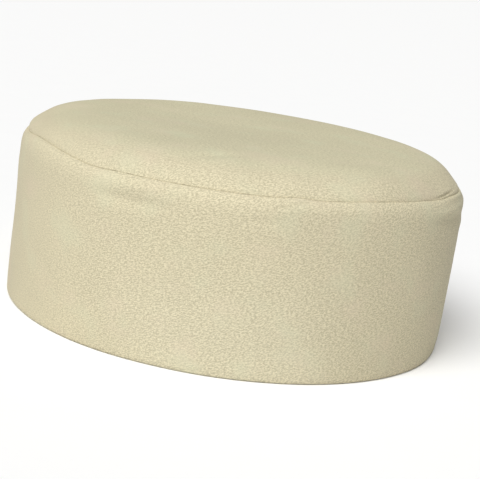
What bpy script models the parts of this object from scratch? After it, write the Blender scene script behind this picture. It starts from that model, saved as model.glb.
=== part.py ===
"""A kufi cap: a round band of thick napped cloth, and a flat crown panel sewn to its top edge.

Metres, +Z up. The cap stands on its rim at z = 0, centred on the origin, and its front faces -Y.
"""

import math

import bmesh
import bpy

# The cap's outside
RIM_RADIUS = 0.0920  # at the bottom fold
SHOULDER_RADIUS = 0.0930  # where the band starts to roll in to the seam
WALL_BELLY = 0.0004  # how far the wall stands out of the straight line between the two
SEAM_HEIGHT = 0.0683
SEAM_INSET = 0.0035  # the seam lies this far inside the shoulder
SHOULDER_DROP = 0.0073  # and this far above it
CROWN_RISE = 0.0109  # the crown's flat top above the seam
CROWN_FLATNESS = 9.6  # how far out the flat top reaches
CROWN_ROLL = 1.48  # how steeply the crown leaves the seam

# A cap sewn by hand is a little out of round
OVAL = 0.0026
OVAL_AT = math.radians(-43)
CROWN_LOBES = 0.0012  # three soft corners at the crown
LOBES_AT = math.radians(5)
CENTRE_X = -0.0008  # the corner on the right stands out furthest, so this keeps the box on the origin

# The cloth
CLOTH = 0.0015
PIECE_GAP = 0.0003
FOLD_ROUND = 0.0008
HEM_HEIGHT = 0.018  # the rim's cloth is turned in and up this far
ALLOWANCE = 0.0080  # the seam's cloth is turned in and down this far
STEP_HEIGHT = 0.0006  # how quickly a turned edge thins to the single cloth
PLAIN_TO = 0.0520  # the wall's low relief lies above this height

SIDES = 72

# Low dents and swellings of the wall: where, how far they reach, and how far out they push
WALL_RELIEF = (
    # angle_deg, height, reach_deg, reach_up, out
    (246.0, 0.0595, 15.0, 0.0045, -0.0008),
    (278.0, 0.0600, 7.0, 0.0030, -0.0003),
    (342.0, 0.0580, 20.0, 0.0040, -0.0007),
    (248.0, 0.0660, 22.0, 0.0035, 0.0004),
    (290.0, 0.0655, 24.0, 0.0035, 0.0003),
    (345.0, 0.0640, 22.0, 0.0035, 0.0005),
    (120.0, 0.0600, 30.0, 0.0050, -0.0005),
    (60.0, 0.0650, 30.0, 0.0035, 0.0003),
)

# Shallow creases and sags of the crown, as ellipses seen from above
CROWN_RELIEF = (
    # x, y, long_deg, half_length, half_width, up
    (-0.0080, -0.0730, 25.0, 0.0160, 0.0040, -0.0006),
    (0.0000, 0.0000, 0.0, 0.0450, 0.0450, -0.0008),
    (0.0450, -0.0500, 40.0, 0.0250, 0.0100, -0.0004),
)

COLOURS = {
    # linear red, green and blue
    "side_band": (0.70, 0.64, 0.45),
    "top_panel": (0.66, 0.61, 0.43),
}


def clear_scene():
    for obj in list(bpy.data.objects):
        bpy.data.objects.remove(obj, do_unlink=True)


def cloth_material(name, colour):
    material = bpy.data.materials.new(name)
    material.use_nodes = True
    shader = material.node_tree.nodes["Principled BSDF"]
    shader.inputs["Base Color"].default_value = (*colour, 1.0)
    shader.inputs["Roughness"].default_value = 0.95
    shader.inputs["Metallic"].default_value = 0.0
    material.diffuse_color = (*colour, 1.0)
    return material


def wall_radius(height):
    """The band's outer radius: the wall, then a quarter ellipse in to the seam."""
    shoulder = SEAM_HEIGHT - SHOULDER_DROP
    if height <= shoulder:
        share = height / shoulder
        bulge = WALL_BELLY * 4 * share * (1 - share)
        return RIM_RADIUS + (SHOULDER_RADIUS - RIM_RADIUS) * share + bulge
    up = min((height - shoulder) / SHOULDER_DROP, 1.0)
    return SHOULDER_RADIUS - SEAM_INSET * (1 - math.sqrt(1 - up * up))


def crown_height(share):
    """The crown's outer height at a share of the seam's radius."""
    return SEAM_HEIGHT + CROWN_RISE * (1 - share**CROWN_FLATNESS) ** (1 / CROWN_ROLL)


def arc(radius, height, size, start_deg, end_deg, steps):
    """Points of a round corner, as (radius, height) pairs."""
    points = []
    for step in range(steps + 1):
        angle = math.radians(start_deg + (end_deg - start_deg) * step / steps)
        points.append((radius + size * math.cos(angle), height + size * math.sin(angle)))
    return points


def spread(start, end, steps):
    return [start + (end - start) * step / steps for step in range(steps + 1)]


def allowance_face(inset):
    """The band's inner face behind the seam, moved in by an inset, from the seam down."""
    seam_radius = SHOULDER_RADIUS - SEAM_INSET
    double = 2 * CLOTH + inset
    top = seam_radius - CLOTH - inset
    settled = SEAM_HEIGHT - SHOULDER_DROP / 2
    end = SEAM_HEIGHT - ALLOWANCE
    turned = SEAM_HEIGHT - CLOTH
    slope = ((top + wall_radius(settled) - double) / 2, (turned + settled) / 2)
    points = [(top, turned), slope]
    for height in (settled, (settled + end) / 2, end):
        points.append((wall_radius(height) - double, height))
    return points


def band_section():
    """The band's closed cross-section, up the outside and down the inside."""
    seam_radius = SHOULDER_RADIUS - SEAM_INSET
    lip = SEAM_HEIGHT - PIECE_GAP / 2
    shoulder = SEAM_HEIGHT - SHOULDER_DROP
    single = SEAM_HEIGHT - ALLOWANCE - STEP_HEIGHT
    inner_rim = RIM_RADIUS - 2 * CLOTH
    points = arc(RIM_RADIUS - FOLD_ROUND, FOLD_ROUND, FOLD_ROUND, -90, 0, 3)
    for height in spread(FOLD_ROUND, PLAIN_TO, 6)[1:] + spread(PLAIN_TO, shoulder, 5)[1:]:
        points.append((wall_radius(height), height))
    for angle in (20, 40, 60, 76):
        height = shoulder + SHOULDER_DROP * math.sin(math.radians(angle))
        points.append((wall_radius(height), height))
    points += [(seam_radius, lip), (seam_radius - CLOTH, lip)]
    points += allowance_face(0.0)
    for height in spread(single, PLAIN_TO, 3) + spread(PLAIN_TO, HEM_HEIGHT + STEP_HEIGHT, 3)[1:]:
        points.append((wall_radius(height) - CLOTH, height))
    points += [(inner_rim, HEM_HEIGHT), (inner_rim, HEM_HEIGHT / 2)]
    points += arc(inner_rim + FOLD_ROUND, FOLD_ROUND, FOLD_ROUND, 180, 270, 3)
    return points


def crown_section():
    """The crown's cross-section from the centre of its top, round its edge, to the centre of its underside."""
    seam_radius = SHOULDER_RADIUS - SEAM_INSET
    edge = SEAM_HEIGHT + PIECE_GAP / 2
    shares = (0.0, 0.25, 0.45, 0.62, 0.74, 0.81, 0.86, 0.90, 0.93, 0.955, 0.975, 0.99, 0.9975)
    outside = [(seam_radius * share, crown_height(share)) for share in shares]
    turned_in = allowance_face(PIECE_GAP)
    inner_edge = turned_in[0][0] - CLOTH
    inside = []
    for before, here, after in zip(outside, outside[1:], outside[2:]):
        run, fall = after[0] - before[0], after[1] - before[1]
        length = math.hypot(run, fall)
        radius = here[0] + CLOTH * fall / length
        height = here[1] - CLOTH * run / length
        if radius < inner_edge:
            inside.append((radius, height))
    underside = (0.0, outside[0][1] - CLOTH)
    points = outside + [(seam_radius, edge), (turned_in[0][0], edge)]
    points += turned_in
    points += [(radius - CLOTH, height) for radius, height in reversed(turned_in)]
    points += [(inner_edge, edge)]
    points += list(reversed(inside)) + [underside]
    return points


def soft_bump(along, across):
    """1 at the middle of a bump, falling smoothly to 0 at its edge."""
    far = math.hypot(along, across)
    return (0.5 + 0.5 * math.cos(math.pi * far)) if far < 1 else 0.0


def wall_push(angle, height):
    """How far the wall's low relief stands out at one place."""
    total = 0.0
    for angle_deg, middle, reach_deg, reach_up, out in WALL_RELIEF:
        turn = math.remainder(angle - math.radians(angle_deg), math.tau)
        total += out * soft_bump(turn / math.radians(reach_deg), (height - middle) / reach_up)
    return total


def crown_lift(x, y):
    total = 0.0
    for middle_x, middle_y, long_deg, half_length, half_width, up in CROWN_RELIEF:
        turn = math.radians(long_deg)
        along = (x - middle_x) * math.cos(turn) + (y - middle_y) * math.sin(turn)
        across = (y - middle_y) * math.cos(turn) - (x - middle_x) * math.sin(turn)
        total += up * soft_bump(along / half_length, across / half_width)
    return total


def out_of_round(angle, height):
    """The factor on a radius at this angle and height."""
    share = min(height / SEAM_HEIGHT, 1.0)
    oval = OVAL * math.cos(2 * (angle - OVAL_AT))
    lobes = CROWN_LOBES * share * math.cos(3 * (angle - LOBES_AT))
    return 1 + (oval + lobes) / RIM_RADIUS


def hand_shape(vert):
    """Moves one vertex of a true turned shape to where the hand-sewn cap has it."""
    x, y, height = vert.co
    angle = math.atan2(y, x)
    radius = (math.hypot(x, y) + wall_push(angle, height)) * out_of_round(angle, height)
    vert.co = (
        radius * math.cos(angle) + CENTRE_X,
        radius * math.sin(angle),
        height + crown_lift(x, y),
    )


def turned_piece(name, section, closed):
    """Spins a cross-section into one closed solid and gives it the hand-sewn shape."""
    mesh = bmesh.new()
    verts = [mesh.verts.new((radius, 0.0, height)) for radius, height in section]
    pairs = list(zip(verts, verts[1:]))
    if closed:
        pairs.append((verts[-1], verts[0]))
    edges = [mesh.edges.new(pair) for pair in pairs]
    bmesh.ops.spin(
        mesh,
        geom=verts + edges,
        cent=(0, 0, 0),
        axis=(0, 0, 1),
        angle=math.tau,
        steps=SIDES,
        use_merge=True,
    )
    bmesh.ops.remove_doubles(mesh, verts=mesh.verts, dist=1e-6)
    for vert in mesh.verts:
        hand_shape(vert)
    bmesh.ops.recalc_face_normals(mesh, faces=mesh.faces)
    for face in mesh.faces:
        face.smooth = True
    data = bpy.data.meshes.new(name)
    mesh.to_mesh(data)
    mesh.free()
    data.materials.append(cloth_material(name, COLOURS[name]))
    piece = bpy.data.objects.new(name, data)
    bpy.context.scene.collection.objects.link(piece)
    return piece


def main():
    clear_scene()
    turned_piece("side_band", band_section(), closed=True)
    turned_piece("top_panel", crown_section(), closed=False)


main()
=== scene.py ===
"""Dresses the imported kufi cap: napped cloth on the band and the crown, sewing and a stage.

It is laid out as a Blender add-on and run as a script. Every size is in metres, in the frame's
own coordinates: the cap stands on z = 0 and its front faces -Y.
"""

import math

import bmesh
import bpy
import numpy as np
from mathutils import Matrix, Vector


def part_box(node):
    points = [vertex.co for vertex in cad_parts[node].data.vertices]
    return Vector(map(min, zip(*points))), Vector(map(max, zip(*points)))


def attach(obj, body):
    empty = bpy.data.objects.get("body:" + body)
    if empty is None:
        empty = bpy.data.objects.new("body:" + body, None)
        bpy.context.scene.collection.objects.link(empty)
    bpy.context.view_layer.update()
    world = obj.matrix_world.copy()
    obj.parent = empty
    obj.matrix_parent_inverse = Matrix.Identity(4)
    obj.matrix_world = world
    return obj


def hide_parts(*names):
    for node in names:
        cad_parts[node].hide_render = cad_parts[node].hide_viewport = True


bl_info = {
    "name": "Kufi Cap Dressing",
    "version": (1, 0, 0),
    "blender": (4, 5, 0),
    "location": "3D View > Sidebar > Cap",
    "description": "Cloth, sewing and stage for a plain kufi cap",
    "category": "Add Mesh",
}

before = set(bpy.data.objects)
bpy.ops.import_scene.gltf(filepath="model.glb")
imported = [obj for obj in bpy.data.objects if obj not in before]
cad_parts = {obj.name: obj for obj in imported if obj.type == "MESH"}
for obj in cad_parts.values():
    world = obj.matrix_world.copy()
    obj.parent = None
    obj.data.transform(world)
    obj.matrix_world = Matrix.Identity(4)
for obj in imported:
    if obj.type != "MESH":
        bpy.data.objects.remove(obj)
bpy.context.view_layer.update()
BAND_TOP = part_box("side_band")[1].z
CROWN_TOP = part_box("top_panel")[1].z

PHOTO_WIDTH = 480
SENSOR = 36.0

# Where the CAD pieces meet, and how the cloth is folded there
PIECE_GAP = 0.0003
SEAM_HEIGHT = BAND_TOP + PIECE_GAP / 2
SHOULDER_SPAN = 0.0073  # the band's rolled shoulder takes up this much height under the seam
CENTRE_X = -0.0008
FOLD = 0.55  # middle radius of a sewn fold, in cloth thicknesses
LAYER_GAP = 0.6  # middle of a layer laid against the wall's inner face, in cloth thicknesses

# The join of the band's two ends, at the back
JOIN_ANGLE = math.radians(90)
JOIN_SLIT = 0.00003  # half the width of the slit between the ends
END_TUCK = 0.0007  # how far the join's stitches draw the ends in
END_TUCK_REACH = 0.0022  # over this distance from the slit

# Distances from row to row of the cloth's mesh
HEM_STEP = 0.0033
WALL_STEP = 0.0026
HIGH_WALL = 0.0500  # above this height the wall's rows lie closer
HIGH_WALL_STEP = 0.0010
ALLOWANCE_STEP = 0.0012
JOIN_STEP = 0.0022
CROWN_STEP = 0.0046
CROWN_MIDDLE = 0.060  # outside this radius the crown's rows lie closer
NEAR_ROLL_STEP = 0.0020
CROWN_ROLL = 0.078  # outside this radius they are spaced by the angle of its roll
ROLL_STEP = 0.039
ROLL_END = 0.17

# Low dents and swellings of the wall and the crown's roll; the CAD band has the first eight
WALL_RELIEF = (
    # angle_deg, height, reach_deg, reach_up, out
    (246, 0.0595, 15, 0.0045, -0.0008),
    (278, 0.0600, 7, 0.0030, -0.0003),
    (342, 0.0580, 20, 0.0040, -0.0007),
    (248, 0.0660, 22, 0.0035, 0.0004),
    (290, 0.0655, 24, 0.0035, 0.0003),
    (345, 0.0640, 22, 0.0035, 0.0005),
    (120, 0.0600, 30, 0.0050, -0.0005),
    (60, 0.0650, 30, 0.0035, 0.0003),
    (350, 0.0645, 26, 0.0050, -0.0005),
    (340, 0.0695, 18, 0.0045, 0.0013),
    (4, 0.0715, 26, 0.0070, -0.0015),
    (343, 0.0005, 18, 0.0060, -0.0004),
    (350, 0.0565, 20, 0.0060, 0.0003),
    (187, 0.0380, 40, 0.0260, -0.0006),
    (187, 0.0020, 35, 0.0140, 0.0002),
    (181, 0.0700, 34, 0.0080, 0.0004),
    (187, 0.0610, 30, 0.0060, -0.0002),
    (234, 0.0000, 24, 0.0140, 0.0003),
    (285, 0.0000, 40, 0.0140, 0.0003),
    (159, 0.0765, 29, 0.0060, 0.0013),
    (334, 0.0632, 14, 0.0026, 0.0004),
    (334, 0.0590, 16, 0.0034, -0.0006),
    (359, 0.0670, 17, 0.0036, -0.0006),
    (179, 0.0710, 22, 0.0042, 0.0011),
)

# Creases and sags of the crown; the CAD crown has them too, with a deeper one in the middle
CROWN_RELIEF = (
    # x, y, long_deg, half_length, half_width, up
    (-0.0080, -0.0730, 25.0, 0.0160, 0.0040, -0.0006),
    (0.0000, 0.0000, 0.0, 0.0450, 0.0450, -0.0003),
    (0.0450, -0.0500, 40.0, 0.0250, 0.0100, -0.0004),
    (-0.0350, 0.0700, 0.0, 0.0600, 0.0220, 0.0003),
)

# How the seam's line strays up and down on its way round
SEAM_WANDER = (
    # angle_deg, reach_deg, up
    (208.5, 24, 0.0021),
    (234.5, 10, -0.0005),
    (284.5, 7, 0.0006),
    (305, 16, 0.0004),
    (328, 9, -0.0004),
)

# Small creases beside the seam; below is measured over the band's shoulder, and is negative on
# the crown
SEAM_CREASES = (
    # angle_deg, below, tilt_deg, half_length, half_width, depth
    (333.0, -0.0018, 6.5, 0.0150, 0.0009, 0.00070),
    (283.4, 0.0046, 24.0, 0.0034, 0.0007, 0.00035),
    (285.3, 0.0036, 24.0, 0.0045, 0.0007, 0.00050),
    (287.4, 0.0026, 22.0, 0.0040, 0.0007, 0.00042),
    (281.5, 0.0061, -3.0, 0.0050, 0.0008, 0.00045),
)

# How far each kind of unevenness reaches
OFF_MIDDLE = (0.060, 0.080)  # between these radii the wall's relief and the seam's straying set in
OFF_SEAM = (0.001, 0.008)  # between these heights above the seam the crown's own relief sets in
WANDER_REACH = 0.012  # how far from the seam its straying still lifts the cloth
WAVE_ROUND, WAVE_UP, WAVE_ACROSS = 0.030, 0.022, 0.026  # the broad waves: wall, wall, crown
PUCKER_REACH = 0.0045  # how far from the seam the puckers reach
PUCKER_STRETCH = 1.6  # how much longer they are upwards than round the cap
PUCKER_CONTRAST = 2.4  # how strongly their noise stands out
STITCH_REACH = 0.0015  # how far from the seam a stitch pulls the cloth in
STITCH_PULL = 0.6  # how far it pulls, in heights of a pucker
GAPE_SPACING = 0.0034  # from one gape of the crown's lip to the next, roughly
GAPE_RANGE = (0.50, 0.64)  # the part of their noise in which the lip opens
GAPE_FADE = (0.0006, 0.0022)  # the gape ends between these distances from the seam
CREASE_FADE = (0.001, 0.007)  # a crease sinks less and less between these distances below it
CREASE_SINK = 0.8  # how far a crease also sinks, in shares of its depth

# The crown's cloth where it turns in behind the band, in cloth thicknesses from the seam
CROWN_TUCK = (
    # inward, upward, thickness
    (0.211, 0.336, 0.30),
    (0.098, 0.202, 0.18),
    (0.021, 0.096, 0.10),
    (-0.018, 0.045, 0.06),
    (-0.020, 0.030, 0.04),
    (0.040, 0.026, 0.04),
    (0.200, 0.022, 0.04),
    (0.380, 0.006, 0.06),
)
TUCK_ROUND = 1.120  # radius at which it then goes round the band's fold, in cloth thicknesses
TUCK_PINCH = 0.10  # its thickness there, as a share of the full one
CROWN_HANG = (
    # inward, upward, thickness
    (1.36, -1.50, 0.60),
    (1.25, -2.00, 0.85),
)
THIN_HEIGHT = 0.0040  # the crown's cloth thins towards its lip from this height above the seam
LIP_SHARE = 0.40  # to this share of its thickness, at a quarter of that height

# The cross-section's mesh
CUT_BULGE = 0.7  # how far a cut edge bulges, in half thicknesses
HIDDEN_TURN = 0.14  # the hidden side keeps a row where the cloth has turned this much
HIDDEN_ROWS = 4  # and at least one row in this many
WELD = 0.000004  # points closer than this are one

# Where the threads lie
SEAM_THREAD_IN = 0.00024  # inside the seam's radius
SEAM_THREAD_UP = 0.00004  # above the seam
HEM_THREAD_UP = 0.0003  # above the hem's edge

# The layers of noise that make up the nap, in widths of a tuft
NAP_LAYERS = (
    # along, across, depth, detail, distortion, share
    (0.38, 1.0, 0.0, 0.0, 0.3, 0.25),  # tufts
    (0.66, 1.6, 5.0, 0.0, 0.2, 0.37),  # flecks
    (1.1, 2.7, 7.0, 1.0, 0.3, 0.28),  # grain
    (1.6, 5.0, 13.0, 2.0, 1.2, 0.10),  # fibres
)
GRAIN = 2
NAP_RANGE = (0.405, 0.595)  # from hollow to tip

# Zones of the cloth, each between two places across the cap or two heights
LEFT_SIDE = (-0.088, -0.032)  # the nap lies flatter here, and on the crown
CROWN_NAP = (0.0700, 0.0775)
RIM_SHADE = (-0.010, 0.050)  # painted shade: the cloth darkens from here down to the rim
LOW_WALL = (0.010, 0.052)  # painted light here, at the front, with a cooler tint
FRONT_FROM = (-0.055, -0.015)
FRONT_TO = (0.020, 0.060)
FLAT_TOP = (0.0750, 0.0775)  # painted cool light: greener and bluer here
ROLLED_EDGE = (0.0685, 0.0710)  # painted shade from here up to the flat top
CAST_RANGE = (0.50, 0.75)  # where a patch's noise starts to tint, and where it tints most
CAST_SHARE = 0.35


def float_prop(name, description, default, **rules):
    """A number that may be changed in the sidebar."""
    return bpy.props.FloatProperty(name=name, description=description, default=default, **rules)


def length_prop(name, description, default, most=0.3):
    rules = {"min": 0.0, "max": most, "subtype": "DISTANCE", "unit": "LENGTH", "precision": 5}
    return float_prop(name, description, default, **rules)


def angle_prop(name, description, degrees):
    return float_prop(name, description, math.radians(degrees), subtype="ANGLE", unit="ROTATION")


def number_prop(name, description, default, most=100.0):
    return float_prop(name, description, default, min=0.0, max=most)


def colour_prop(name, description, default):
    return bpy.props.FloatVectorProperty(
        name=name,
        description=description,
        default=default,
        min=0.0,
        max=1.0,
        size=3,
        subtype="COLOR",
    )


class CapSizes(bpy.types.PropertyGroup):
    """The cap's own sizes."""

    rim_radius: length_prop("Rim Radius", "Outer radius at the bottom fold", 0.0920)
    shoulder_radius: length_prop("Shoulder Radius", "Outer radius where the band rolls in", 0.0930)
    wall_belly: length_prop("Wall Belly", "How far the wall stands out of a straight line", 0.0004)
    seam_inset: length_prop("Seam Inset", "How far the seam lies inside the shoulder", 0.0035)
    crown_rise: length_prop(
        "Crown Rise",
        "Height of the crown's flat top above the seam",
        CROWN_TOP - SEAM_HEIGHT,
    )
    crown_flatness: number_prop("Crown Flatness", "How far out the flat top reaches", 9.6)
    crown_roll: number_prop("Crown Roll", "How steeply the crown leaves the seam", 1.48)
    oval: length_prop("Oval", "How far the cap stands out of round along its long axis", 0.0026)
    oval_at: angle_prop("Oval At", "Direction of the long axis", -43.0)
    corners: length_prop("Corners", "How far three soft corners stand out at the crown", 0.0012)
    corners_at: angle_prop("Corners At", "Direction of the first soft corner", 5.0)
    cloth: length_prop("Cloth", "Thickness of the cloth", 0.0014)
    hem_height: length_prop("Hem Height", "How far the rim's cloth is turned up inside", 0.0180)
    allowance: length_prop("Seam Allowance", "How far the seam's edges are turned in", 0.0080)
    join_flap: length_prop("Join Allowance", "How far the band's ends are turned back", 0.0105)
    columns: bpy.props.IntProperty(
        name="Columns",
        description="Faces round the cap",
        default=864,
        min=48,
    )


class ClothLook(bpy.types.PropertyGroup):
    """Colour, nap and wrinkles of the cloth, and the painted shade at its rim."""

    cream: colour_prop("Cream", "Colour of the nap's tips", (0.675, 0.61, 0.425))
    hollow: colour_prop("Hollow", "Colour between the tufts of the nap", (0.455, 0.41, 0.28))
    rosy: colour_prop("Rosy Cast", "Warm patches in the cloth", (0.64, 0.54, 0.40))
    leafy: colour_prop("Green Cast", "Cool patches in the cloth", (0.575, 0.57, 0.395))
    # painted shade: how bright the cloth is left at the rim by the darkening towards it
    rim_shade: number_prop("Rim Shade", "Brightness of the cloth at the rim, where shade is painted", 0.95, most=1.0)
    lint: colour_prop("Lint", "Colour of the few dark specks", (0.24, 0.17, 0.11))
    lint_size: length_prop("Lint Size", "Radius of a speck", 0.00045)
    lint_spacing: length_prop("Lint Spacing", "Distance from speck to speck, roughly", 0.0220)
    tuft: length_prop("Tuft Size", "Width of one tuft of the nap", 0.00050)
    tuft_lean: angle_prop("Tuft Lean", "Angle between the tufts and the band's length", 17.0)
    nap_height: length_prop("Nap Height", "Height of the nap that the light catches", 0.00020)
    wave_height: length_prop("Wave Height", "Height of the cloth's broad waves", 0.00022)
    pucker_height: length_prop("Pucker Height", "Height of the puckers at the seam", 0.00016)
    pucker_spacing: length_prop("Pucker Spacing", "Distance from pucker to pucker", 0.0046)


class SewingLook(bpy.types.PropertyGroup):
    """The sewing thread."""

    thread: colour_prop("Thread", "Colour of the thread", (0.50, 0.45, 0.31))
    thread_radius: length_prop("Thread Radius", "Radius of the thread", 0.00016)
    seam_spacing: length_prop("Seam Spacing", "Distance from stitch to stitch in the seam", 0.0026)
    seam_stitch: length_prop("Seam Stitch", "Length of a stitch across the seam", 0.0011)
    lip_lift: length_prop("Lip Lift", "How far the crown gapes between its stitches", 0.00009)
    hem_spacing: length_prop("Hem Spacing", "Distance from stitch to stitch in the hem", 0.0062)
    hem_stitch: length_prop("Hem Stitch", "Length of a stitch of the hem", 0.0034)


class StageLook(bpy.types.PropertyGroup):
    """Camera, floor and lights."""

    distance: length_prop("Distance", "From the aim to the camera", 0.5393, most=5.0)
    height: angle_prop("Height", "Angle of the view down on to the cap", 12.933)
    roll: angle_prop("Roll", "Turn of the camera about its view", 7.458)
    focal: float_prop(
        "Focal Length",
        "Focal length in pixels of a picture 480 pixels wide",
        1260.2,
        subtype="PIXEL",
    )
    aim: bpy.props.FloatVectorProperty(
        name="Aim",
        description="Point at the middle of the view",
        default=(0.0037, 0.0, 0.0312),
        size=3,
        subtype="TRANSLATION",
        unit="LENGTH",
    )
    floor: colour_prop("Floor", "Colour of the floor", (0.93, 0.93, 0.925))
    sky: number_prop("Sky", "Strength of the even light from all round", 0.17)
    key: number_prop("Key Light", "Strength of the broad light at the front left", 3.57)
    key_turn: angle_prop("Key Turn", "Direction of the broad light, about the cap's axis", 249.0)
    key_height: angle_prop("Key Height", "Angle of the broad light above the floor", 52.0)
    key_spread: angle_prop("Key Spread", "Width of the broad light as the cap sees it", 48.0)


class Wire:
    """A node's output socket that takes part in Python expressions."""

    def __init__(self, board, socket):
        self.board = board
        self.socket = socket

    def __add__(self, other):
        return self.board.maths("ADD", self, other)

    def __radd__(self, other):
        return self.board.maths("ADD", other, self)

    def __sub__(self, other):
        return self.board.maths("SUBTRACT", self, other)

    def __rsub__(self, other):
        return self.board.maths("SUBTRACT", other, self)

    def __mul__(self, other):
        return self.board.maths("MULTIPLY", self, other)

    def __rmul__(self, other):
        return self.board.maths("MULTIPLY", other, self)

    def __truediv__(self, other):
        return self.board.maths("DIVIDE", self, other)

    def __rtruediv__(self, other):
        return self.board.maths("DIVIDE", other, self)

    def __pow__(self, other):
        return self.board.maths("POWER", self, other)

    def __neg__(self):
        return self.board.maths("MULTIPLY", self, -1.0)


class Board:
    """A node tree, and the few ways in which nodes are added to it."""

    def __init__(self, tree):
        self.tree = tree
        self.given = {}

    def node(self, kind, settings=None, values=None):
        """Adds one node: its settings first, then the values or links of its sockets."""
        made = self.tree.nodes.new(kind)
        for name, value in (settings or {}).items():
            setattr(made, name, value)
        for key, value in (values or {}).items():
            if isinstance(value, Wire):
                self.tree.links.new(value.socket, made.inputs[key])
            else:
                made.inputs[key].default_value = value
        return made

    def out(self, kind, settings=None, values=None, output=0):
        return Wire(self, self.node(kind, settings, values).outputs[output])

    def maths(self, operation, *values):
        return self.out("ShaderNodeMath", {"operation": operation}, dict(enumerate(values)))

    def vector_maths(self, operation, *values):
        return self.out("ShaderNodeVectorMath", {"operation": operation}, dict(enumerate(values)))

    def vector(self, x, y, z=0.0):
        return self.out("ShaderNodeCombineXYZ", {}, {0: x, 1: y, 2: z})

    def parts(self, vector):
        made = self.node("ShaderNodeSeparateXYZ", {}, {0: vector})
        return [Wire(self, socket) for socket in made.outputs]

    def ramp(self, value, low, high, low_value=0.0, high_value=1.0):
        """A smooth step of value from low to high, clamped at both ends."""
        settings = {"interpolation_type": "SMOOTHSTEP"}
        values = {0: value, 1: low, 2: high, 3: low_value, 4: high_value}
        return self.out("ShaderNodeMapRange", settings, values)

    def mix_colour(self, factor, first, second):
        values = {0: factor, 6: first, 7: second}
        return self.out("ShaderNodeMix", {"data_type": "RGBA"}, values, output=2)

    def noise(self, vector, detail=2.0, roughness=0.5, distortion=0.0):
        values = {
            "Vector": vector,
            "Scale": 1.0,
            "Detail": detail,
            "Roughness": roughness,
            "Distortion": distortion,
        }
        return self.out("ShaderNodeTexNoise", {"noise_dimensions": "3D"}, values)


def new_object(name, data):
    made = bpy.data.objects.new(name, data)
    bpy.context.scene.collection.objects.link(made)
    return made


# Cross-sections of the cloth, as rows of its middle line: radius, height, share of full thickness

def spread(start, end, step):
    """Values from start to end, both included, about one step apart."""
    count = max(1, round(abs(end - start) / step))
    return [start + (end - start) * i / count for i in range(count + 1)]


def seam_radius(sizes):
    return sizes.shoulder_radius - sizes.seam_inset


def wall_radius(sizes, height):
    """The band's outer radius below its shoulder."""
    share = height / (SEAM_HEIGHT - SHOULDER_SPAN)
    bulge = sizes.wall_belly * 4 * share * (1 - share)
    return sizes.rim_radius + (sizes.shoulder_radius - sizes.rim_radius) * share + bulge


def shoulder_point(sizes, degrees, inset):
    """A point of the band's rolled shoulder, a quarter ellipse, moved in from its outer face."""
    angle = math.radians(degrees)
    radius = sizes.shoulder_radius - sizes.seam_inset * (1 - math.cos(angle))
    height = SEAM_HEIGHT - SHOULDER_SPAN * (1 - math.sin(angle))
    out = math.cos(angle) / sizes.seam_inset
    up = math.sin(angle) / SHOULDER_SPAN
    length = math.hypot(out, up)
    return radius - inset * out / length, height - inset * up / length


def round_fold(centre, size, start_deg, end_deg, steps):
    """Points of a round fold, without its first point."""
    points = []
    for step in range(1, steps + 1):
        angle = math.radians(start_deg + (end_deg - start_deg) * step / steps)
        points.append((centre[0] + size * math.cos(angle), centre[1] + size * math.sin(angle)))
    return points


def band_rows(sizes):
    """The band's cloth, from the hem's edge, round the rim, up the wall and in at the seam."""
    half = sizes.cloth / 2
    fold = FOLD * sizes.cloth
    rim_level = fold + half
    shoulder = SEAM_HEIGHT - SHOULDER_SPAN
    layer = half + 2 * fold

    def wall(inset, heights):
        return [(wall_radius(sizes, height) - inset, height) for height in heights]

    points = wall(layer, spread(sizes.hem_height, rim_level, HEM_STEP))
    rim_middle = (wall_radius(sizes, rim_level) - half - fold, rim_level)
    points += round_fold(rim_middle, fold, 180, 360, 7)
    points += wall(half, spread(rim_level, HIGH_WALL, WALL_STEP)[1:])
    points += wall(half, spread(HIGH_WALL, shoulder, HIGH_WALL_STEP)[1:])
    points += [shoulder_point(sizes, degrees, half) for degrees in range(6, 91, 6)]
    points += round_fold((seam_radius(sizes), SEAM_HEIGHT - rim_level), fold, 90, 240, 8)
    points += [shoulder_point(sizes, degrees, layer) for degrees in (48, 24, 0)]
    points += wall(layer, spread(shoulder, SEAM_HEIGHT - sizes.allowance, ALLOWANCE_STEP)[1:])
    return [(radius, height, 1.0) for radius, height in points]


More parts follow.
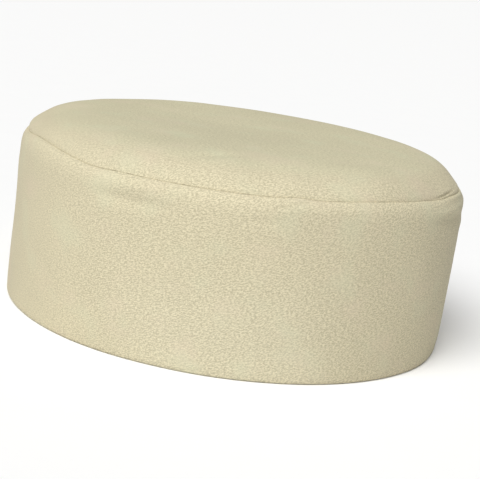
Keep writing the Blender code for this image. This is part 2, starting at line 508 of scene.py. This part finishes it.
def crown_rows(sizes):
    """The crown's cloth, from its centre, over the rolled edge, in behind the band and down."""
    cloth, seam = sizes.cloth, seam_radius(sizes)

    def surface(share):
        flat = 1 - share**sizes.crown_flatness
        return seam * share, SEAM_HEIGHT + sizes.crown_rise * flat ** (1 / sizes.crown_roll)

    radii = spread(0.0, CROWN_MIDDLE, CROWN_STEP)
    radii += spread(CROWN_MIDDLE, CROWN_ROLL, NEAR_ROLL_STEP)[1:]
    faces = [surface(radius / seam) for radius in radii]
    roll_start = math.acos((CROWN_ROLL / seam) ** (sizes.crown_flatness / 2))
    for angle in spread(roll_start, ROLL_END, ROLL_STEP)[1:]:
        faces.append(surface(math.cos(angle) ** (2 / sizes.crown_flatness)))
    rows = [(0.0, faces[0][1] - cloth / 2, 1.0)]
    for before, here, after in zip(faces, faces[1:], faces[2:] + faces[-1:]):
        run, fall = after[0] - before[0], after[1] - before[1]
        length = math.hypot(run, fall)
        rise = (here[1] - SEAM_HEIGHT) / THIN_HEIGHT
        share = min(1.0, LIP_SHARE + (1 - LIP_SHARE) * (rise - 0.25) / 0.75)
        inset = share * cloth / 2
        rows.append((here[0] + inset * fall / length, here[1] - inset * run / length, share))
    for inward, upward, share in CROWN_TUCK:
        rows.append((seam - inward * cloth, SEAM_HEIGHT + upward * cloth, share))
    centre = (seam, SEAM_HEIGHT - (FOLD + 0.5) * cloth)
    for radius, height in round_fold(centre, TUCK_ROUND * cloth, 120, 178, 5):
        rows.append((radius, height, TUCK_PINCH))
    for inward, upward, share in CROWN_HANG:
        rows.append((seam - inward * cloth, SEAM_HEIGHT + upward * cloth, share))
    layer = (LAYER_GAP + 4 * FOLD) * cloth
    rows += [(*shoulder_point(sizes, degrees, layer), 1.0) for degrees in (48, 24, 0)]
    shoulder = SEAM_HEIGHT - SHOULDER_SPAN
    for height in spread(shoulder, SEAM_HEIGHT - sizes.allowance, ALLOWANCE_STEP)[1:]:
        rows.append((wall_radius(sizes, height) - layer, height, 1.0))
    return rows


def join_rows(sizes):
    """The band's ends, turned back flat against the wall between the hem and the allowances."""
    layer = (LAYER_GAP + 2 * FOLD) * sizes.cloth
    low = sizes.hem_height + sizes.cloth
    high = SEAM_HEIGHT - sizes.allowance - 1.2 * sizes.cloth
    heights = spread(low, high, JOIN_STEP)
    return [(wall_radius(sizes, height) - layer, height, 0.9) for height in heights]


def section_object(name, rows, cloth, open_at_axis=False):
    """A cross-section as points and edges, which keep their place and run along the cloth."""
    table = np.array(rows)
    middle, half = table[:, :2], table[:, 2:] * cloth / 2
    along = np.gradient(middle, axis=0)
    along /= np.linalg.norm(along, axis=1)[:, None]
    left = np.stack([-along[:, 1], along[:, 0]], axis=1)
    steps = np.linalg.norm(np.diff(middle, axis=0), axis=1)
    run = np.concatenate([[0.0], np.cumsum(steps)])
    bend = np.abs(along[1:-1, 0] * along[2:, 1] - along[1:-1, 1] * along[2:, 0])
    kept, turned = [0], 0.0
    for i in range(1, len(table) - 1):
        turned += bend[i - 1]
        if turned > HIDDEN_TURN or i - kept[-1] == HIDDEN_ROWS:
            kept.append(i)
            turned = 0.0
    kept.append(len(table) - 1)
    shown = middle + left * half if open_at_axis else middle - left * half
    hidden = 2 * middle - shown
    if open_at_axis:
        shown[0, 0] = hidden[0, 0] = 0.0
    points = [*shown, middle[-1] + along[-1] * half[-1] * CUT_BULGE]
    runs = [*run, run[-1]]
    points += [hidden[i] for i in reversed(kept)]
    runs += [run[i] for i in reversed(kept)]
    if not open_at_axis:
        points.append(middle[0] - along[0] * half[0] * CUT_BULGE)
        runs.append(run[0])
    edges = [(i, i + 1) for i in range(len(points) - 1)]
    if not open_at_axis:
        edges.append((len(points) - 1, 0))
    mesh = bpy.data.meshes.new(name)
    mesh.from_pydata([(point[0], point[1], 0.0) for point in points], edges, [])
    columns = {
        "section_radius": [point[0] for point in points],
        "section_height": [point[1] for point in points],
        "cloth_run": runs,
    }
    for column, values in columns.items():
        attribute = mesh.attributes.new(column, "FLOAT", "POINT")
        attribute.data.foreach_set("value", np.array(values, dtype=np.float32))
    return new_object(name, mesh)


# Geometry Nodes trees

SHAPE_INPUTS = {
    "Oval": ("Float", 0.0),
    "Oval At": ("Float", 0.0),
    "Corners": ("Float", 0.0),
    "Corners At": ("Float", 0.0),
    "Rim Radius": ("Float", 0.1),
    "Seam Height": ("Float", 0.07),
    "Seam Radius": ("Float", 0.09),
    "Centre X": ("Float", 0.0),
    "Wave Height": ("Float", 0.0),
    "Pucker Height": ("Float", 0.0),
    "Pucker Spacing": ("Float", 0.005),
    "Seam Stitches": ("Int", 200),
    "Lip Lift": ("Float", 0.0),
}


def shape_values(scene):
    """What the inputs that both trees share are set to."""
    sizes, look = scene.cap_sizes, scene.cap_cloth
    seam = seam_radius(sizes)
    return {
        "Oval": sizes.oval,
        "Oval At": sizes.oval_at,
        "Corners": sizes.corners,
        "Corners At": sizes.corners_at,
        "Rim Radius": sizes.rim_radius,
        "Seam Height": SEAM_HEIGHT,
        "Seam Radius": seam,
        "Centre X": CENTRE_X,
        "Wave Height": look.wave_height,
        "Pucker Height": look.pucker_height,
        "Pucker Spacing": look.pucker_spacing,
        "Seam Stitches": round(math.tau * seam / scene.cap_sewing.seam_spacing),
    }


def geometry_board(name, sizes):
    """A new Geometry Nodes tree with named inputs; sizes gives each input's kind and default."""
    tree = bpy.data.node_groups.new(name, "GeometryNodeTree")
    tree.interface.new_socket("Geometry", in_out="INPUT", socket_type="NodeSocketGeometry")
    tree.interface.new_socket("Geometry", in_out="OUTPUT", socket_type="NodeSocketGeometry")
    for label, (kind, default) in sizes.items():
        socket = tree.interface.new_socket(label, in_out="INPUT", socket_type="NodeSocket" + kind)
        if default is not None:
            socket.default_value = default
    board = Board(tree)
    source = board.node("NodeGroupInput")
    board.given = {socket.name: Wire(board, socket) for socket in source.outputs if socket.name}
    return board


def close_tree(board, geometry):
    """Ends a tree: its instances are made real and its material is set."""
    real = board.out("GeometryNodeRealizeInstances", {}, {"Geometry": geometry})
    values = {"Geometry": real, "Material": board.given["Material"]}
    painted = board.out("GeometryNodeSetMaterial", {}, values)
    board.node("NodeGroupOutput", {}, {"Geometry": painted})
    return board.tree


def soft_bump(board, along, across):
    """1 at the middle of an ellipse, falling smoothly to 0 at its edge."""
    reach = board.maths("MINIMUM", (along * along + across * across) ** 0.5, 1.0)
    return 0.5 + 0.5 * board.maths("COSINE", math.pi * reach)


def wall_push(board, angle, height):
    """How far the dents and swellings of the wall push it out."""
    total = 0.0
    for angle_deg, middle, reach_deg, reach_up, out in WALL_RELIEF:
        along = turn_from(board, angle, angle_deg) / math.radians(reach_deg)
        total = total + out * soft_bump(board, along, (height - middle) / reach_up)
    return total


def crown_lift(board, x, y):
    """How far the creases and sags of the crown lift it."""
    total = 0.0
    for middle_x, middle_y, long_deg, half_length, half_width, up in CROWN_RELIEF:
        cos, sin = math.cos(math.radians(long_deg)), math.sin(math.radians(long_deg))
        along = (x - middle_x) * cos + (y - middle_y) * sin
        across = (y - middle_y) * cos - (x - middle_x) * sin
        total = total + up * soft_bump(board, along / half_length, across / half_width)
    return total


def turn_from(board, angle, degrees):
    """How far an angle lies from a direction, either way round."""
    return board.maths("WRAP", angle - math.radians(degrees), math.pi, -math.pi)


def seam_rise(board, angle):
    """How far the seam strays up from its level."""
    total = 0.0
    for angle_deg, reach_deg, up in SEAM_WANDER:
        along = turn_from(board, angle, angle_deg) / math.radians(reach_deg)
        total = total + up * soft_bump(board, along, 0.0)
    return total


def crease_depth(board, angle, below):
    """How deep the small creases beside the seam are."""
    unit = board.given["Rim Radius"]
    total = 0.0
    for angle_deg, middle, tilt_deg, half_length, half_width, depth in SEAM_CREASES:
        cos, sin = math.cos(math.radians(tilt_deg)), math.sin(math.radians(tilt_deg))
        sideways = turn_from(board, angle, angle_deg) * unit
        upwards = middle - below
        along = (sideways * cos + upwards * sin) / half_length
        across = (upwards * cos - sideways * sin) / half_width
        total = total + depth * soft_bump(board, along, across)
    return total


def hand_shape(board, radius, angle, height):
    """The place of a turned point after the cap's uneven shape, its waves and its puckers."""
    given = board.given
    above = height - given["Seam Height"]
    off_seam = board.maths("ABSOLUTE", above)
    cos, sin = board.maths("COSINE", angle), board.maths("SINE", angle)
    x, y = radius * cos, radius * sin

    unit = given["Rim Radius"]

    def ring(spacing, depth):
        return board.vector(cos * unit / spacing, sin * unit / spacing, depth)

    wave = board.noise(ring(WAVE_ROUND, height / WAVE_UP), detail=1.0)
    wave = (wave - 0.5) * 2 * given["Wave Height"]
    gather = given["Pucker Spacing"]
    pucker = board.noise(ring(gather, above / (gather * PUCKER_STRETCH)), detail=1.5)
    pucker = (pucker - 0.5) * PUCKER_CONTRAST
    pucker = pucker * board.ramp(off_seam, 0.0, PUCKER_REACH, 1.0, 0.0)
    stitch = board.maths("COSINE", angle * given["Seam Stitches"])
    pulled = board.ramp(stitch, 0.35, 1.0) * board.ramp(off_seam, 0.0, STITCH_REACH, 1.0, 0.0)
    fold = (pucker - STITCH_PULL * pulled) * given["Pucker Height"]
    below = (radius - given["Seam Radius"]) - above
    crease = crease_depth(board, angle, below)
    off_middle = board.ramp(radius, *OFF_MIDDLE)
    push = (wall_push(board, angle, height) + wave + fold) * off_middle - crease

    oval = given["Oval"] * board.maths("COSINE", 2 * (angle - given["Oval At"]))
    corner = given["Corners"] * board.maths("COSINE", 3 * (angle - given["Corners At"]))
    risen = board.maths("MINIMUM", height / given["Seam Height"], 1.0)
    wide = (radius + push) * (1 + (oval + risen * corner) / unit)

    disc = board.vector(x / WAVE_ACROSS, y / WAVE_ACROSS, 4.0)
    top_wave = (board.noise(disc, detail=1.0) - 0.5) * 2 * given["Wave Height"]
    top = (crown_lift(board, x, y) + top_wave) * board.ramp(above, *OFF_SEAM)
    rise = seam_rise(board, angle) * board.ramp(off_seam, 0.0, WANDER_REACH, 1.0, 0.0) * off_middle
    lip = board.noise(ring(GAPE_SPACING, 9.0), detail=1.0)
    open_here = board.ramp(lip, *GAPE_RANGE)
    gape = given["Lip Lift"] * open_here * board.ramp(off_seam, *GAPE_FADE, 1.0, 0.0)
    sunk = crease * board.ramp(below, *CREASE_FADE, CREASE_SINK, 0.0)
    level = height + top + rise + gape - sunk
    return board.vector(wide * cos + given["Centre X"], wide * sin, level)


def turned_cloth_tree():
    """Turns a cross-section round the axis into the cap's shape, and marks its flat cloth."""
    inputs = {
        "Columns": ("Int", 64),
        "Start": ("Float", 0.0),
        "Sweep": ("Float", math.tau),
        "Round Panel": ("Float", 0.0),
        "End Tuck": ("Float", 0.0),
        "Tuck Reach": ("Float", 0.002),
        "Material": ("Material", None),
    }
    board = geometry_board("turned cloth", {**inputs, **SHAPE_INPUTS})
    given = board.given
    section = board.out("GeometryNodeMeshToCurve", {}, {"Mesh": given["Geometry"]})
    values = {"Resolution": given["Columns"], "Radius": 1.0, "Sweep Angle": given["Sweep"]}
    path = board.out("GeometryNodeCurveArc", {"mode": "RADIUS"}, values)
    place = board.out("GeometryNodeSplineParameter")
    keep = board.node("GeometryNodeCaptureAttribute", {}, {"Geometry": path})
    keep.capture_items.new("FLOAT", "turn")
    board.tree.links.new(place.socket, keep.inputs[1])
    turn = Wire(board, keep.outputs[1])
    values = {"Curve": Wire(board, keep.outputs[0])}
    level = board.out("GeometryNodeSetCurveNormal", {"mode": "Z_UP"}, values)
    values = {"Curve": level, "Profile Curve": section, "Fill Caps": True}
    swept = board.out("GeometryNodeCurveToMesh", {}, values)

    def kept(name):
        return board.out("GeometryNodeInputNamedAttribute", {"data_type": "FLOAT"}, {"Name": name})

    radius, height, run = kept("section_radius"), kept("section_height"), kept("cloth_run")
    angle = given["Start"] + given["Sweep"] * turn
    to_end = (0.5 - board.maths("ABSOLUTE", turn - 0.5)) * given["Sweep"] * given["Rim Radius"]
    bent = board.maths("MAXIMUM", 1 - to_end / given["Tuck Reach"], 0.0)
    placed = hand_shape(board, radius - given["End Tuck"] * bent * bent, angle, height)
    shaped = board.out("GeometryNodeSetPosition", {}, {"Geometry": swept, "Position": placed})

    around = board.vector(angle * given["Rim Radius"], run)
    disc = board.vector(run * board.maths("COSINE", angle), run * board.maths("SINE", angle))
    values = {0: given["Round Panel"], 4: around, 5: disc}
    flat = board.out("ShaderNodeMix", {"data_type": "VECTOR"}, values, output=1)
    settings = {"data_type": "FLOAT_VECTOR", "domain": "POINT"}
    values = {"Geometry": shaped, "Name": "cloth_at", "Value": flat}
    return close_tree(board, board.out("GeometryNodeStoreNamedAttribute", settings, values))


def stitch_row_tree():
    """A row of equal stitches round the cap, each a short bowed thread."""
    inputs = {
        "Stitches": ("Int", 100),
        "Ring Radius": ("Float", 0.09),
        "Ring Height": ("Float", 0.07),
        "Length": ("Float", 0.002),
        "Step In": ("Float", 0.0),
        "Lean": ("Float", 0.0),
        "Bow": ("Float", 0.0002),
        "Thread Radius": ("Float", 0.0002),
        "Unevenness": ("Float", 0.0002),
        "Seed": ("Int", 5),
        "Material": ("Material", None),
    }
    board = geometry_board("stitch row", {**inputs, **SHAPE_INPUTS})
    given = board.given
    half_lean, half_step = given["Lean"] / 2, given["Step In"] / 2
    half_length = given["Length"] / 2
    values = {
        "Resolution": 6,
        "Start": board.vector(-half_lean, half_step, -half_length),
        "Middle": board.vector(0.0, -given["Bow"], 0.0),
        "End": board.vector(half_lean, -half_step, half_length),
    }
    bow = board.out("GeometryNodeCurveQuadraticBezier", {}, values)
    values = {"Resolution": 6, "Radius": given["Thread Radius"]}
    ring = board.out("GeometryNodeCurvePrimitiveCircle", {}, values)
    values = {"Curve": bow, "Profile Curve": ring, "Fill Caps": True}
    thread = board.out("GeometryNodeCurveToMesh", {}, values)

    def uneven(offset):
        values = {2: -1.0, 3: 1.0, "Seed": given["Seed"] + offset}
        return board.out("FunctionNodeRandomValue", {"data_type": "FLOAT"}, values, output=1)

    slip = uneven(0) * given["Unevenness"] / given["Ring Radius"]
    angle = math.tau * board.out("GeometryNodeInputIndex") / given["Stitches"] + slip
    place = hand_shape(board, given["Ring Radius"], angle, given["Ring Height"])
    points = board.out("GeometryNodePoints", {}, {"Count": given["Stitches"], "Position": place})
    facing = board.vector(0.05 * uneven(1), 0.12 * uneven(2), angle + math.pi / 2)
    values = {"Points": points, "Instance": thread, "Rotation": facing}
    return close_tree(board, board.out("GeometryNodeInstanceOnPoints", {}, values))


def run_tree(source, tree, values, name):
    """Runs a tree on the source object; its result is a new piece of plain mesh."""
    modifier = source.modifiers.new("tree", "NODES")
    modifier.node_group = tree
    for item in tree.interface.items_tree:
        if item.in_out == "INPUT" and item.name in values:
            modifier[item.identifier] = values[item.name]
    graph = bpy.context.evaluated_depsgraph_get()
    mesh = bpy.data.meshes.new_from_object(
        source.evaluated_get(graph),
        preserve_all_data_layers=True,
        depsgraph=graph,
    )
    bpy.data.meshes.remove(source.data)
    close_mesh(mesh)
    mesh.name = name
    return new_object(name, mesh)


def close_mesh(mesh):
    """Joins the points that meet at poles and ends, turns the faces outwards, shades smooth."""
    shell = bmesh.new()
    shell.from_mesh(mesh)
    bmesh.ops.remove_doubles(shell, verts=shell.verts, dist=WELD)
    bmesh.ops.recalc_face_normals(shell, faces=shell.faces)
    for face in shell.faces:
        face.smooth = len(face.verts) <= 4
    shell.to_mesh(mesh)
    shell.free()


def empty_source(name):
    """An object for a tree that makes all its geometry itself."""
    return new_object(name, bpy.data.meshes.new(name))


# Materials

def new_material(name):
    material = bpy.data.materials.new(name)
    material.use_nodes = True
    material.node_tree.nodes.clear()
    return material, Board(material.node_tree)


def close_material(material, board, values):
    """Ends a material with a Principled surface of these values."""
    surface = board.out("ShaderNodeBsdfPrincipled", {}, values)
    board.node("ShaderNodeOutputMaterial", {}, {"Surface": surface})
    return material


def opaque(colour):
    return (*colour, 1.0)


def nap_height(board, look, x, y):
    """The nap as leaning tufts, flecks, grain and loose fibres; also gives the grain alone."""
    cos, sin = math.cos(look.tuft_lean), math.sin(look.tuft_lean)
    lengthwise = (x * cos + y * sin) / look.tuft
    crosswise = (y * cos - x * sin) / look.tuft
    nap, layers = 0.0, []
    for along, across, depth, detail, distortion, share in NAP_LAYERS:
        place = board.vector(lengthwise * along, crosswise * across, depth)
        layers.append(board.noise(place, detail=detail, distortion=distortion))
        nap = nap + layers[-1] * share
    return nap, layers[GRAIN]


def cloth_shade(board, look, x, y, side, height):
    """How much lighter, darker or cooler the cloth is from place to place, as a colour."""
    broad = board.noise(board.vector(x / 0.045, y / 0.045, 31.0))
    # painted shade: the cloth is made darker towards the rim
    shaded_rim = board.ramp(height, *RIM_SHADE, look.rim_shade, 1.0)
    # painted light: the low front of the wall is made lighter, and a little cooler in tint
    low = board.ramp(height, *LOW_WALL, 1.0, 0.0)
    lit_low_front = low * board.ramp(side, *FRONT_FROM) * board.ramp(side, *FRONT_TO, 1.0, 0.0)
    # painted light: the flat top is tinted greener and bluer, as under cooler light from above
    cool_lit_top = board.ramp(height, *FLAT_TOP)
    # painted shade: the crown's rolled edge is made a little darker
    shaded_roll = board.ramp(height, *ROLLED_EDGE) * (1 - cool_lit_top)
    shade = board.ramp(broad, 0.3, 0.7, 0.97, 1.02) * shaded_rim
    shade = shade * (1 + 0.022 * lit_low_front - 0.024 * shaded_roll)
    greener = 1 + 0.012 * lit_low_front + 0.028 * cool_lit_top
    bluer = 1 + 0.035 * lit_low_front + 0.018 * cool_lit_top
    return board.vector(shade, shade * greener, shade * bluer)


def lint_specks(board, look, x, y):
    """Where the few dark specks of lint lie."""
    place = board.vector(x / look.lint_spacing, y / look.lint_spacing, 0.5)
    values = {"Vector": place, "Scale": 1.0}
    cells = board.node("ShaderNodeTexVoronoi", {"voronoi_dimensions": "3D"}, values)
    chance, _, _ = board.parts(Wire(board, cells.outputs["Color"]))
    size = look.lint_size / look.lint_spacing
    speck = board.ramp(Wire(board, cells.outputs["Distance"]), size * 0.6, size, 1.0, 0.0)
    return speck * board.ramp(chance, 0.55, 0.60) * 0.6


def napped_cloth(look):
    """Cream wool with a short raised nap, faint patches of colour and a little lint."""
    material, board = new_material("napped cream cloth")
    at = board.out("ShaderNodeAttribute", {"attribute_name": "cloth_at"}, {}, output=1)
    x, y, _ = board.parts(at)
    side, _, height = board.parts(board.out("ShaderNodeTexCoord", {}, {}, output=3))

    nap, grain = nap_height(board, look, x, y)
    standing = board.ramp(side, *LEFT_SIDE, 0.3, 1.0) * board.ramp(height, *CROWN_NAP, 1.0, 0.6)
    nap = 0.5 + (nap - 0.5) * standing

    body = board.mix_colour(board.ramp(nap, *NAP_RANGE), opaque(look.hollow), opaque(look.cream))
    for cast, spacing, depth in ((look.rosy, 0.020, 3.0), (look.leafy, 0.018, 21.0)):
        patch = board.noise(board.vector(x / spacing, y / spacing, depth))
        share = board.ramp(patch, *CAST_RANGE) * CAST_SHARE
        body = board.mix_colour(share, body, opaque(cast))
    shade = cloth_shade(board, look, x, y, side, height)
    body = board.vector_maths("MULTIPLY", body, shade)
    body = board.mix_colour(lint_specks(board, look, x, y), body, opaque(look.lint))

    values = {"Strength": 1.0, "Distance": look.nap_height, "Height": nap}
    bump = board.out("ShaderNodeBump", {}, values)
    values = {
        "Base Color": body,
        "Roughness": 0.86 + 0.10 * grain,
        "Specular IOR Level": 0.25,
        "Sheen Weight": 0.04,
        "Sheen Roughness": 0.55,
        "Normal": bump,
    }
    return close_material(material, board, values)


def sewing_thread(look):
    """Twisted thread, a little darker than the cloth."""
    material, board = new_material("sewing thread")
    x, y, z = board.parts(board.out("ShaderNodeTexCoord", {}, {}, output=3))
    twist = board.noise(board.vector(x / 0.0002, y / 0.0002, z / 0.0002))
    strand = board.ramp(twist, 0.35, 0.65)
    dark = tuple(0.72 * channel for channel in look.thread)
    bump = {"Strength": 0.6, "Distance": 0.00005, "Height": twist}
    values = {
        "Base Color": board.mix_colour(strand, opaque(dark), opaque(look.thread)),
        "Roughness": 0.70 + 0.15 * twist,
        "Specular IOR Level": 0.3,
        "Normal": board.out("ShaderNodeBump", {}, bump),
    }
    return close_material(material, board, values)


def pale_floor(look):
    """Plain pale paper."""
    material, board = new_material("pale floor")
    x, y, _ = board.parts(board.out("ShaderNodeTexCoord", {}, {}, output=3))
    fleck = board.noise(board.vector(x / 0.025, y / 0.025), detail=3.0)
    dull = tuple(0.985 * channel for channel in look.floor)
    values = {
        "Base Color": board.mix_colour(fleck, opaque(dull), opaque(look.floor)),
        "Roughness": 0.9,
        "Specular IOR Level": 0.1,
    }
    return close_material(material, board, values)


def shared_material(name, build, look):
    """The material of that name, built on its first use."""
    return bpy.data.materials.get(name) or build(look)


# The stage

def make_floor(look):
    shell = bmesh.new()
    bmesh.ops.create_circle(shell, cap_ends=True, radius=14.0, segments=96)
    mesh = bpy.data.meshes.new("floor")
    shell.to_mesh(mesh)
    shell.free()
    mesh.materials.append(pale_floor(look))
    new_object("floor", mesh)


def make_sky(scene, look):
    """Even white light from all round."""
    world = bpy.data.worlds.new("soft sky")
    world.use_nodes = True
    world.node_tree.nodes.clear()
    board = Board(world.node_tree)
    values = {"Color": (1.0, 1.0, 1.0, 1.0), "Strength": look.sky}
    light = board.out("ShaderNodeBackground", {}, values)
    board.node("ShaderNodeOutputWorld", {}, {"Surface": light})
    scene.world = world


def make_key_light(look):
    """One broad soft light, up at the front left."""
    data = bpy.data.lights.new("key light", "SUN")
    data.energy = look.key
    data.angle = look.key_spread
    light = new_object("key light", data)
    level = math.cos(look.key_height)
    place = Vector((
        level * math.cos(look.key_turn),
        level * math.sin(look.key_turn),
        math.sin(look.key_height),
    ))
    turned = place.to_track_quat("Z", "Y").to_matrix().to_4x4()
    light.matrix_world = Matrix.Translation(place) @ turned


def make_camera(scene, look):
    """Places the camera from its angle, roll and distance, in the photograph's frame."""
    out = Vector((0.0, -math.cos(look.height), math.sin(look.height)))
    right = Vector((1.0, 0.0, 0.0))
    up = out.cross(right)
    turned_right = right * math.cos(look.roll) + up * math.sin(look.roll)
    turned_up = up * math.cos(look.roll) - right * math.sin(look.roll)
    data = bpy.data.cameras.new("photo camera")
    data.sensor_width = SENSOR
    data.lens = look.focal / PHOTO_WIDTH * SENSOR
    data.clip_start = 0.01
    data.clip_end = 60.0
    camera = new_object("photo camera", data)
    turned = Matrix((turned_right, turned_up, out)).transposed().to_4x4()
    camera.matrix_world = Matrix.Translation(Vector(look.aim) + out * look.distance) @ turned
    scene.camera = camera


# Operators

def cloth_piece(scene, name, rows, values, open_at_axis=False):
    """One piece of cloth, turned from its cross-section."""
    sizes = scene.cap_sizes
    tree = bpy.data.node_groups.get("turned cloth") or turned_cloth_tree()
    cloth = shared_material("napped cream cloth", napped_cloth, scene.cap_cloth)
    section = section_object(name + "_section", rows, sizes.cloth, open_at_axis)
    settings = {"Columns": sizes.columns + 1, "Material": cloth, **shape_values(scene), **values}
    return run_tree(section, tree, settings, name)


class KUFI_OT_side_band(bpy.types.Operator):
    """Makes the side band: one strip with a hem, a rolled shoulder and a seam allowance"""

    bl_idname = "kufi.side_band"
    bl_label = "Make Side Band"

    def execute(self, context):
        sizes = context.scene.cap_sizes
        rows = band_rows(sizes)
        slit = JOIN_SLIT / sizes.rim_radius
        values = {
            "Start": JOIN_ANGLE + slit,
            "Sweep": math.tau - 2 * slit,
            "End Tuck": END_TUCK,
            "Tuck Reach": END_TUCK_REACH,
        }
        band = cloth_piece(context.scene, "side_band_cloth", rows, values)
        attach(band, "root")
        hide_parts("side_band")
        return {"FINISHED"}


class KUFI_OT_join_allowances(bpy.types.Operator):
    """Makes the two ends of the band, turned back inside at the join"""

    bl_idname = "kufi.join_allowances"
    bl_label = "Make Join Allowances"

    def execute(self, context):
        sizes = context.scene.cap_sizes
        rows = join_rows(sizes)
        reach = sizes.join_flap / sizes.rim_radius
        slit = 2 * JOIN_SLIT / sizes.rim_radius
        starts = {"left": JOIN_ANGLE + slit, "right": JOIN_ANGLE - slit - reach}
        for side, start in starts.items():
            values = {"Columns": 16, "Start": start, "Sweep": reach}
            flap = cloth_piece(context.scene, "join_allowance_" + side, rows, values)
            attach(flap, "root")
        return {"FINISHED"}


class KUFI_OT_top_panel(bpy.types.Operator):
    """Makes the crown: one round panel with a rolled edge, tucked in behind the band"""

    bl_idname = "kufi.top_panel"
    bl_label = "Make Top Panel"

    def execute(self, context):
        rows = crown_rows(context.scene.cap_sizes)
        values = {"Round Panel": 1.0, "Lip Lift": context.scene.cap_sewing.lip_lift}
        crown = cloth_piece(context.scene, "top_panel_cloth", rows, values, open_at_axis=True)
        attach(crown, "root")
        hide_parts("top_panel")
        return {"FINISHED"}


class KUFI_OT_sewing(bpy.types.Operator):
    """Sews the crown to the band, and the hem to the inside of the wall"""

    bl_idname = "kufi.sewing"
    bl_label = "Sew Cap"

    def execute(self, context):
        scene = context.scene
        sizes, sewing = scene.cap_sizes, scene.cap_sewing
        shared = {
            "Thread Radius": sewing.thread_radius,
            "Material": shared_material("sewing thread", sewing_thread, sewing),
            **shape_values(scene),
        }
        seam = {
            "Stitches": shared["Seam Stitches"],
            "Ring Radius": seam_radius(sizes) - SEAM_THREAD_IN,
            "Ring Height": SEAM_HEIGHT + SEAM_THREAD_UP,
            "Length": sewing.seam_stitch,
            "Lean": sewing.seam_stitch * 0.5,
            "Bow": 0.0001,
        }
        inside = wall_radius(sizes, sizes.hem_height) - (1 + FOLD) * sizes.cloth
        hem = {
            "Stitches": round(math.tau * inside / sewing.hem_spacing),
            "Ring Radius": inside - sewing.thread_radius,
            "Ring Height": sizes.hem_height + HEM_THREAD_UP,
            "Length": sewing.hem_stitch,
            "Step In": 2 * FOLD * sizes.cloth,
            "Lean": sewing.hem_stitch * 0.7,
            "Bow": -0.0006,
            "Unevenness": 0.0007,
            "Seed": 11,
        }
        tree = bpy.data.node_groups.get("stitch row") or stitch_row_tree()
        for name, values in {"crown_seam_stitches": seam, "hem_stitches": hem}.items():
            row = run_tree(empty_source(name + "_source"), tree, {**shared, **values}, name)
            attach(row, "root")
        return {"FINISHED"}


class KUFI_OT_stage(bpy.types.Operator):
    """Lays the floor, lights it softly and sets the camera at the photograph's angle"""

    bl_idname = "kufi.stage"
    bl_label = "Set Stage"

    def execute(self, context):
        scene = context.scene
        look = scene.cap_stage
        make_floor(look)
        make_sky(scene, look)
        make_key_light(look)
        make_camera(scene, look)
        scene.view_settings.view_transform = "Standard"
        return {"FINISHED"}


class KUFI_PT_cap(bpy.types.Panel):
    """The cap's pieces and sizes"""

    bl_idname = "KUFI_PT_cap"
    bl_label = "Kufi Cap"
    bl_space_type = "VIEW_3D"
    bl_region_type = "UI"
    bl_category = "Cap"

    def draw(self, context):
        for operator in OPERATORS:
            self.layout.operator(operator.bl_idname)
        for name in GROUPS:
            group = getattr(context.scene, name)
            box = self.layout.box()
            for prop in group.__annotations__:
                box.prop(group, prop)


GROUPS = {
    "cap_sizes": CapSizes,
    "cap_cloth": ClothLook,
    "cap_sewing": SewingLook,
    "cap_stage": StageLook,
}
OPERATORS = (
    KUFI_OT_side_band,
    KUFI_OT_join_allowances,
    KUFI_OT_top_panel,
    KUFI_OT_sewing,
    KUFI_OT_stage,
)


def register():
    for group in GROUPS.values():
        bpy.utils.register_class(group)
    for operator in OPERATORS:
        bpy.utils.register_class(operator)
    bpy.utils.register_class(KUFI_PT_cap)
    for name, group in GROUPS.items():
        setattr(bpy.types.Scene, name, bpy.props.PointerProperty(type=group))


def unregister():
    for name in GROUPS:
        delattr(bpy.types.Scene, name)
    bpy.utils.unregister_class(KUFI_PT_cap)
    for operator in reversed(OPERATORS):
        bpy.utils.unregister_class(operator)
    for group in reversed(GROUPS.values()):
        bpy.utils.unregister_class(group)


def main():
    register()
    bpy.ops.kufi.side_band()
    bpy.ops.kufi.join_allowances()
    bpy.ops.kufi.top_panel()
    bpy.ops.kufi.sewing()
    bpy.ops.kufi.stage()


if __name__ == "__main__":
    main()
